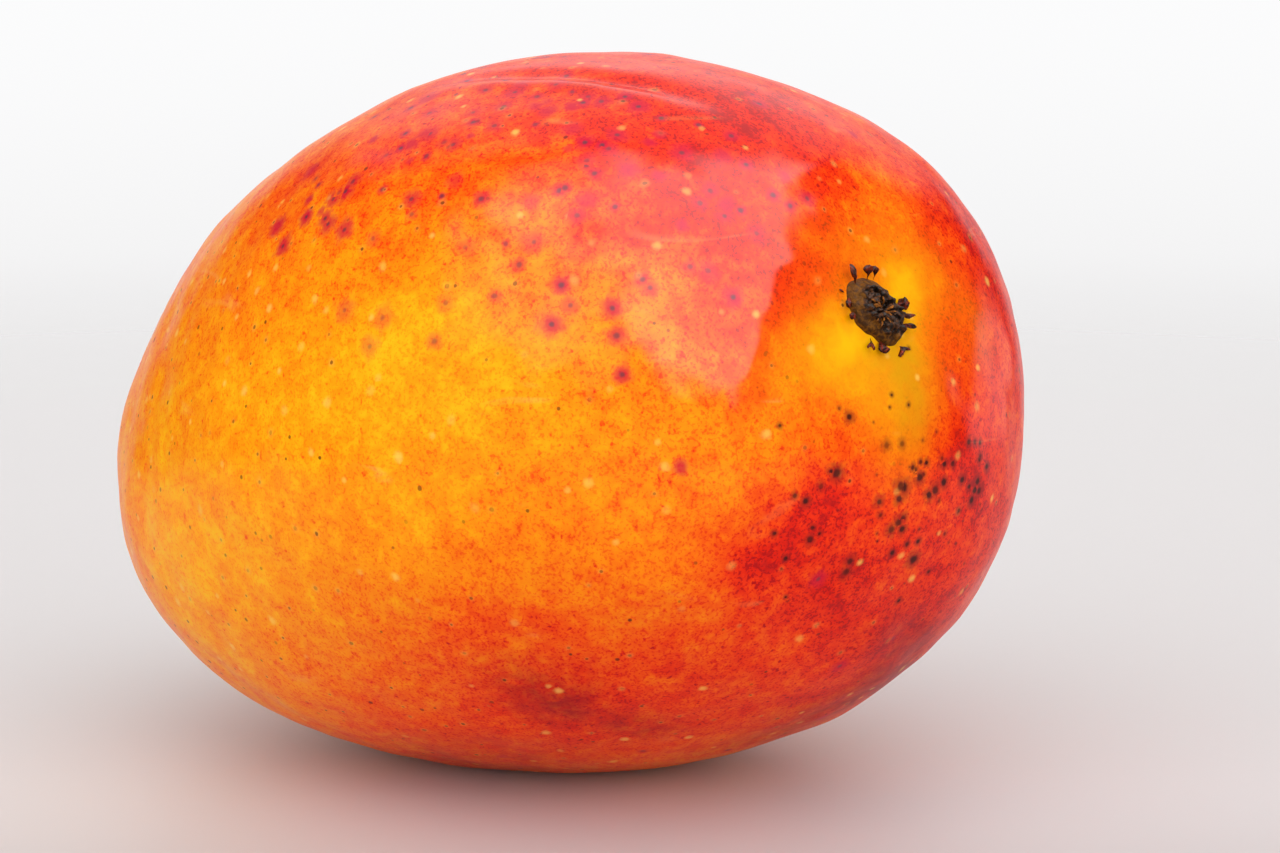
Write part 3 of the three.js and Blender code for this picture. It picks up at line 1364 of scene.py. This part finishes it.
@dataclass(frozen=True)
class Blade:
    """A shrivelled scrap that leaves the stub along a bent line, in mm.

    Its line goes out by length, sideways by bend times t squared, and up by rise, where t goes from 0
    to 1; curl bends the tip over. Its section is an ellipse, widest at belly along it.
    """

    length: float
    width: float
    thickness: float
    rise: float = 0.5
    bend: float = 0.0
    curl: float = 0.6
    belly: float = 0.5
    stem_share: float = 0.35  # how thin the first half is, compared with the belly
    lift: float = 0.0  # how far off the skin it starts
    rings: int = 28
    around: int = 20

    def swell(self, t: np.ndarray) -> np.ndarray:
        """Works out how full the section is along the line.

        It is sin(pi t^p)^0.7, where p puts the middle at the belly, times a step from stem_share to 1
        that is steepest at t = 0.42.

        Args:
            t: how far along, from 0 to 1.

        Returns:
            The section's share of its full width.
        """
        power = math.log(0.5) / math.log(self.belly)
        full = np.sin(math.pi * t**power) ** 0.7
        step = self.stem_share + (1 - self.stem_share) / (1 + np.exp(-(t - 0.42) * 14))
        return np.minimum(full, 1) * step

    def surface(self, form: FruitForm, clock: float, start: float, seed: int) -> Surface:
        """Builds the blade.

        Args:
            form: the skin it stands on.
            clock: which way it points, in radians on the skin.
            start: how far from the stem's middle it starts, in mm.
            seed: which shrivelling.

        Returns:
            A closed surface.
        """
        t = np.linspace(0, 1, self.rings + 2)[1:-1, None]
        angle = np.linspace(0, 2 * math.pi, self.around, endpoint=False)[None]
        line = self.length * t + 0 * angle
        unit = np.stack([np.cos(angle) + 0 * t, np.sin(angle) + 0 * t, line], axis=-1)
        shrivel = 1 + 0.45 * cloud(unit, 0.45, seed) + 0.2 * cloud(unit, 0.2, seed + 1)
        half = self.swell(t) * shrivel / 2
        foot = self.lift + self.thickness * 0.35
        rise = foot + self.rise * np.sin(math.pi * t * self.curl)
        out = start + line + 0.12 * cloud(unit, 0.5, seed + 2)
        across = self.bend * t**2 + self.width * half * np.cos(angle)
        height = rise + self.thickness * half * np.sin(angle)

        def put(out_: np.ndarray, across_: np.ndarray, height_: np.ndarray) -> np.ndarray:
            """Turns the blade to its clock angle and lays it on the skin."""
            level = out_ * math.cos(clock) - across_ * math.sin(clock)
            upward = out_ * math.sin(clock) + across_ * math.cos(clock)
            return form.draped(level, upward, height_)

        tip_height = foot + self.rise * math.sin(math.pi * self.curl)
        ends = put(
            np.array([start, start + self.length]), np.array([0.0, self.bend]), np.array([foot, tip_height])
        )
        return closed(put(out, across, height), ends[0], ends[1])


class ScaleKind(Enum):
    """What the dried scraps round the stub look like, each as one or two blades."""

    HOOK = (Blade(2.3, 0.75, 0.5, rise=0.9, bend=-0.9, curl=0.75, belly=0.6),)
    FLECK = (Blade(0.7, 0.35, 0.22, rise=0.1),)
    CUP = (Blade(1.5, 1.35, 0.65, rise=0.9, curl=0.5, belly=0.72, stem_share=0.25),)
    DROP = (Blade(1.4, 0.7, 0.6, rise=0.7, bend=0.25, curl=0.55, belly=0.7, stem_share=0.2),)
    BEAD = (Blade(1.25, 0.95, 0.8, rise=0.5, curl=0.55, stem_share=0.6),)
    STALKS = (
        Blade(1.5, 0.35, 0.3, rise=0.5, bend=-0.5, belly=0.75, stem_share=0.5),
        Blade(1.3, 0.4, 0.35, rise=0.6, bend=0.35, belly=0.75, stem_share=0.45),
    )
    LUMP = (Blade(1.35, 1.25, 0.95, rise=0.5, curl=0.5, stem_share=0.7),)
    SHARD = (
        Blade(0.7, 1.5, 0.35, rise=0.25, bend=-0.5),
        Blade(1.2, 0.5, 0.3, rise=0.3, bend=0.9, belly=0.4),
    )
    WEDGE = (Blade(1.55, 0.55, 0.7, rise=0.9, bend=0.2, curl=0.45, belly=0.45, stem_share=0.8),)


@dataclass(frozen=True)
class SepalScales:
    """The dried scraps of sepal that stand round the stub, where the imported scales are."""

    form: FruitForm
    inset: float = 0.55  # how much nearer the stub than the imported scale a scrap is, in mm
    seed: int = 40
    kinds: tuple[ScaleKind, ...] = (
        ScaleKind.HOOK,
        ScaleKind.FLECK,
        ScaleKind.CUP,
        ScaleKind.DROP,
        ScaleKind.BEAD,
        ScaleKind.BEAD,
        ScaleKind.STALKS,
        ScaleKind.LUMP,
        ScaleKind.SHARD,
        ScaleKind.WEDGE,
        ScaleKind.WEDGE,
        ScaleKind.LUMP,
    )

    def scrap(self, number: int, kind: ScaleKind, husk: bpy.types.Material) -> bpy.types.Object:
        """Builds one scrap where its packed scale stands.

        Args:
            number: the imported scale's number.
            kind: what it looks like.
            husk: its material.

        Returns:
            The piece.
        """
        node = f"sepal_scale_{number}"
        clock, distance = self.form.clock_of(node)
        blades = []
        for i, blade in enumerate(kind.value):
            start = distance - self.inset - blade.length / 2
            blades.append(blade.surface(self.form, clock, start, self.seed + 7 * number + i))
        piece = new_object(f"sepal_{kind.name.lower()}_{number}", blades)
        worn(piece, husk)
        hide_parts(node)
        return piece

    def build(self) -> list[bpy.types.Object]:
        """Builds one piece for each packed scale.

        Returns:
            The pieces.
        """
        husk = HuskFinish().material()
        return [self.scrap(number, kind, husk) for number, kind in enumerate(self.kinds, 1)]


@dataclass(frozen=True)
class Fibres:
    """Torn strands of the stalk's core, standing in the stub's hollow."""

    form: FruitForm
    count: int = 16
    seed: int = 61
    finish: HuskFinish = HuskFinish("stem_fibre", tone(104, 56, 14), tone(196, 120, 44), 0.6)

    def build(self) -> bpy.types.Object:
        """Builds all the strands as one piece.

        Returns:
            The piece.
        """
        random = np.random.default_rng(self.seed)
        strands = []
        for number in range(self.count):
            clock = random.uniform(0, 2 * math.pi)
            blade = Blade(
                length=random.uniform(0.7, 1.5),
                width=random.uniform(0.14, 0.26),
                thickness=random.uniform(0.12, 0.2),
                rise=random.uniform(0.3, 0.7),
                bend=random.uniform(-0.6, 0.6),
                curl=random.uniform(0.45, 0.7),
                stem_share=0.9,
                lift=random.uniform(1.0, 1.3),
            )
            start = random.uniform(0.1, 0.9)
            strands.append(blade.surface(self.form, clock, start, self.seed + 3 * number))
        piece = new_object("stem_fibres", strands)
        worn(piece, self.finish.material())
        return piece


# ---------------------------------------------------------------- the studio


def backward(azimuth: float, elevation: float) -> Vector:
    """Finds the way from the object to a viewer.

    Args:
        azimuth: degrees round from -Y towards +X.
        elevation: degrees above the horizon.

    Returns:
        A unit vector.
    """
    a, e = math.radians(azimuth), math.radians(elevation)
    return Vector((math.sin(a) * math.cos(e), -math.cos(a) * math.cos(e), math.sin(e)))


@dataclass(frozen=True)
class TableFinish:
    """A matte pale top, with painted shade making it darker at the front, and see-through towards its rim;
    sizes in mm.
    """

    front: float  # which azimuth its front faces
    colour: Colour = tone(214, 210, 210)
    # painted shade: the top darkens towards the viewer, where less light falls
    front_painted_shade: Colour = tone(184, 176, 174)
    front_starts: float = 10.0
    front_full: float = 90.0
    solid_radius: float = 100.0
    faded_radius: float = 600.0
    roughness: float = 0.5
    shine: float = 0.25

    def material(self) -> bpy.types.Material:
        """Builds the table's material.

        Returns:
            The material.
        """
        s = Sketch("table_top")
        place = s.place()
        out = s.add("VectorMath", {0: place}, operation="LENGTH").outputs["Value"]
        # how much painted shade there is, rising towards the front
        front_shade_share = s.ease(s.along(place, backward(self.front, 0)), self.front_starts, self.front_full)
        colour = s.mix(front_shade_share, self.colour, self.front_painted_shade)
        given = {"Base Color": colour, "Roughness": self.roughness, "Specular IOR Level": self.shine}
        matte = s.add("BsdfPrincipled", given).outputs[0]
        clear = s.add("BsdfTransparent", {}).outputs[0]
        fading = s.ease(out, self.solid_radius, self.faded_radius)
        s.add("OutputMaterial", {0: s.add("MixShader", {0: fading, 1: matte, 2: clear}).outputs[0]})
        return s.owner


@dataclass(frozen=True)
class Floor:
    """A round pale table top that fades into the bright surroundings; sizes in mm."""

    finish: TableFinish
    radius: float = 4000.0
    below: float = 0.05
    rings: int = 23
    around: int = 96

    def build(self) -> bpy.types.Object:
        """Builds the table top as rings of points in a plane, at r = R u^2.

        Returns:
            The table top, which isn't part of the object.
        """
        radius = self.radius * np.linspace(0, 1, self.rings + 1)[1:, None] ** 2
        angle = np.linspace(0, 2 * math.pi, self.around, endpoint=False)[None]
        depth = np.full((self.rings, self.around), -self.below)
        rings = np.stack([radius * np.cos(angle), radius * np.sin(angle), depth], axis=-1)
        top = new_object("table_top", [disc(rings, np.array([0.0, 0.0, -self.below]))])
        top.data.materials.append(self.finish.material())
        return top


@dataclass(frozen=True)
class Facing:
    """A part of the room, as seen from the fruit: its light rises from a dim to a bright cosine.

    The cosine is with a way given as right, up and towards the viewer.
    """

    way: tuple[float, float, float]
    dim: float
    bright: float
    radiance: float = 1.0


@dataclass(frozen=True)
class Room:
    """The white surroundings: what the gloss mirrors, what lights the rest, and what the camera sees."""

    azimuth: float
    elevation: float
    softbox: float = 11.5
    softbox_sides: tuple[Facing, ...] = (
        Facing((-0.60, 0.73, 0.33), -0.03, 0.06),  # crisp on the right
        Facing((0.17, 0.97, -0.19), -0.02, 0.2),  # over the viewer
        Facing((0.73, 0.61, 0.32), -0.1, 0.8),  # fading away on the left
        Facing((0.30, -0.30, 0.90), -0.38, -0.02),  # overhead
    )
    ruffle: float = 0.6  # how unevenly the softbox's cloth hangs
    ruffle_scale: float = 2.4
    panels: tuple[Facing, ...] = (
        Facing((0.03, 0.85, -0.53), 0.74, 0.92, 2.0),  # the pale ceiling
        Facing((0.0, 0.0, -1.0), 0.72, 0.98, 0.95),  # the backdrop
        Facing((0.85, -0.05, -0.52), 0.92, 0.985, 2.2),  # a narrow light on the right
        Facing((0.0, -1.0, 0.0), 0.0, 0.3, 0.25),  # the far parts of the table
    )
    sky: float = 0.46
    fill: Facing = Facing((-0.02, 0.26, 0.96), -0.15, 0.8, 1.14)
    horizon: tuple[float, float] = (-0.27, -0.03)  # the slopes between which the backdrop brightens
    backdrop: tuple[tuple[float, Colour], ...] = (
        (0.0, (0.62, 0.60, 0.60)),
        (0.35, (0.80, 0.79, 0.79)),
        (1.0, (0.97, 0.97, 0.975)),
    )

    def facing(self, s: Sketch, way: Socket, part: Facing) -> Socket:
        """Works out the light from one part of the room.

        Args:
            s: the world.
            way: the way that is looked along.
            part: the part.

        Returns:
            Its brightness.
        """
        back = backward(self.azimuth, self.elevation)
        right = Vector((0, 0, 1)).cross(back).normalized()
        up = back.cross(right)
        towards = part.way[0] * right + part.way[1] * up + part.way[2] * back
        return s.times(s.ease(s.along(way, towards.normalized()), part.dim, part.bright), part.radiance)

    def mirrored(self, s: Sketch, way: Socket) -> Socket:
        """Works out what the gloss mirrors: a softbox cut off by its sides, and the panels.

        Args:
            s: the world.
            way: the way that is looked along.

        Returns:
            Its brightness.
        """
        given = {"Vector": way, "Scale": self.ruffle_scale, "Detail": 1.0}
        noise = s.add("TexNoise", given).outputs["Color"]
        centred = s.add("VectorMath", {0: noise, 1: (-0.5,) * 3}, operation="ADD").outputs[0]
        given = {0: centred, 1: (self.ruffle,) * 3, 2: way}
        ruffled = s.add("VectorMath", given, operation="MULTIPLY_ADD").outputs[0]
        light: Given = self.softbox
        for side in self.softbox_sides:
            light = s.times(light, self.facing(s, ruffled, side))
        for panel in self.panels:
            light = s.math("MAXIMUM", light, self.facing(s, way, panel))
        return light

    def build(self) -> bpy.types.World:
        """Builds the surroundings, with their own light for each kind of ray.

        Returns:
            The world, which is the scene's.
        """
        s = Sketch("studio", "worlds")
        way = s.add("TexCoord", {}).outputs["Generated"]
        white = (1.0, 1.0, 1.0, 1.0)
        soft = s.total(self.sky, self.facing(s, way, self.fill))
        seen = s.ramp(s.ease(s.along(way, (0, 0, 1)), *self.horizon), self.backdrop)
        shown = s.add("Background", {"Strength": 1.0, "Color": seen}).outputs[0]
        gloss = s.add("Background", {"Strength": self.mirrored(s, way), "Color": white}).outputs[0]
        plain = s.add("Background", {"Strength": soft, "Color": white}).outputs[0]
        ray = s.add("LightPath", {}).outputs
        lit = s.add("MixShader", {0: ray["Is Glossy Ray"], 1: plain, 2: gloss}).outputs[0]
        all_rays = s.add("MixShader", {0: ray["Is Camera Ray"], 1: lit, 2: shown}).outputs[0]
        s.add("OutputWorld", {0: all_rays})
        bpy.context.scene.world = s.owner
        return s.owner


@dataclass(frozen=True)
class Studio:
    """The room, the table and the camera."""

    azimuth: float = 48.0
    elevation: float = 9.0
    distance: float = 0.44
    aim: tuple[float, float, float] = (-0.0036, 0.0165, 0.0381)
    lens: float = 100.0
    sensor: float = 36.0
    nearest_seen: float = 0.01
    furthest_seen: float = 20.0

    def camera(self) -> bpy.types.Object:
        """Makes the camera.

        Returns:
            The camera, which is the scene's.
        """
        data = bpy.data.cameras.new("camera")
        data.lens = self.lens
        data.sensor_width = self.sensor
        data.clip_start = self.nearest_seen
        data.clip_end = self.furthest_seen
        camera = bpy.data.objects.new("camera", data)
        back = backward(self.azimuth, self.elevation)
        camera.location = Vector(self.aim) + back * self.distance
        camera.rotation_euler = back.to_track_quat("Z", "Y").to_euler()
        bpy.context.scene.collection.objects.link(camera)
        bpy.context.scene.camera = camera
        return camera

    def build(self) -> None:
        """Builds the room, the table and the camera, and sets how light becomes colour."""
        Room(self.azimuth, self.elevation).build()
        Floor(TableFinish(self.azimuth)).build()
        self.camera()
        bpy.context.scene.view_settings.view_transform = "Standard"


# ---------------------------------------------------------------- everything, in order


def main() -> None:
    """Loads the frame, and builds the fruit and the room."""
    logging.basicConfig(level=logging.INFO, format="%(name)s: %(message)s")
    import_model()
    form = FruitForm()
    pieces = [Skin(form).build(), StemStub(form).build(), *SepalScales(form).build(), Fibres(form).build()]
    for piece in pieces:
        log.info("%s: %d faces", piece.name, len(piece.data.polygons))
    Studio().build()


if __name__ == "__main__":
    main()
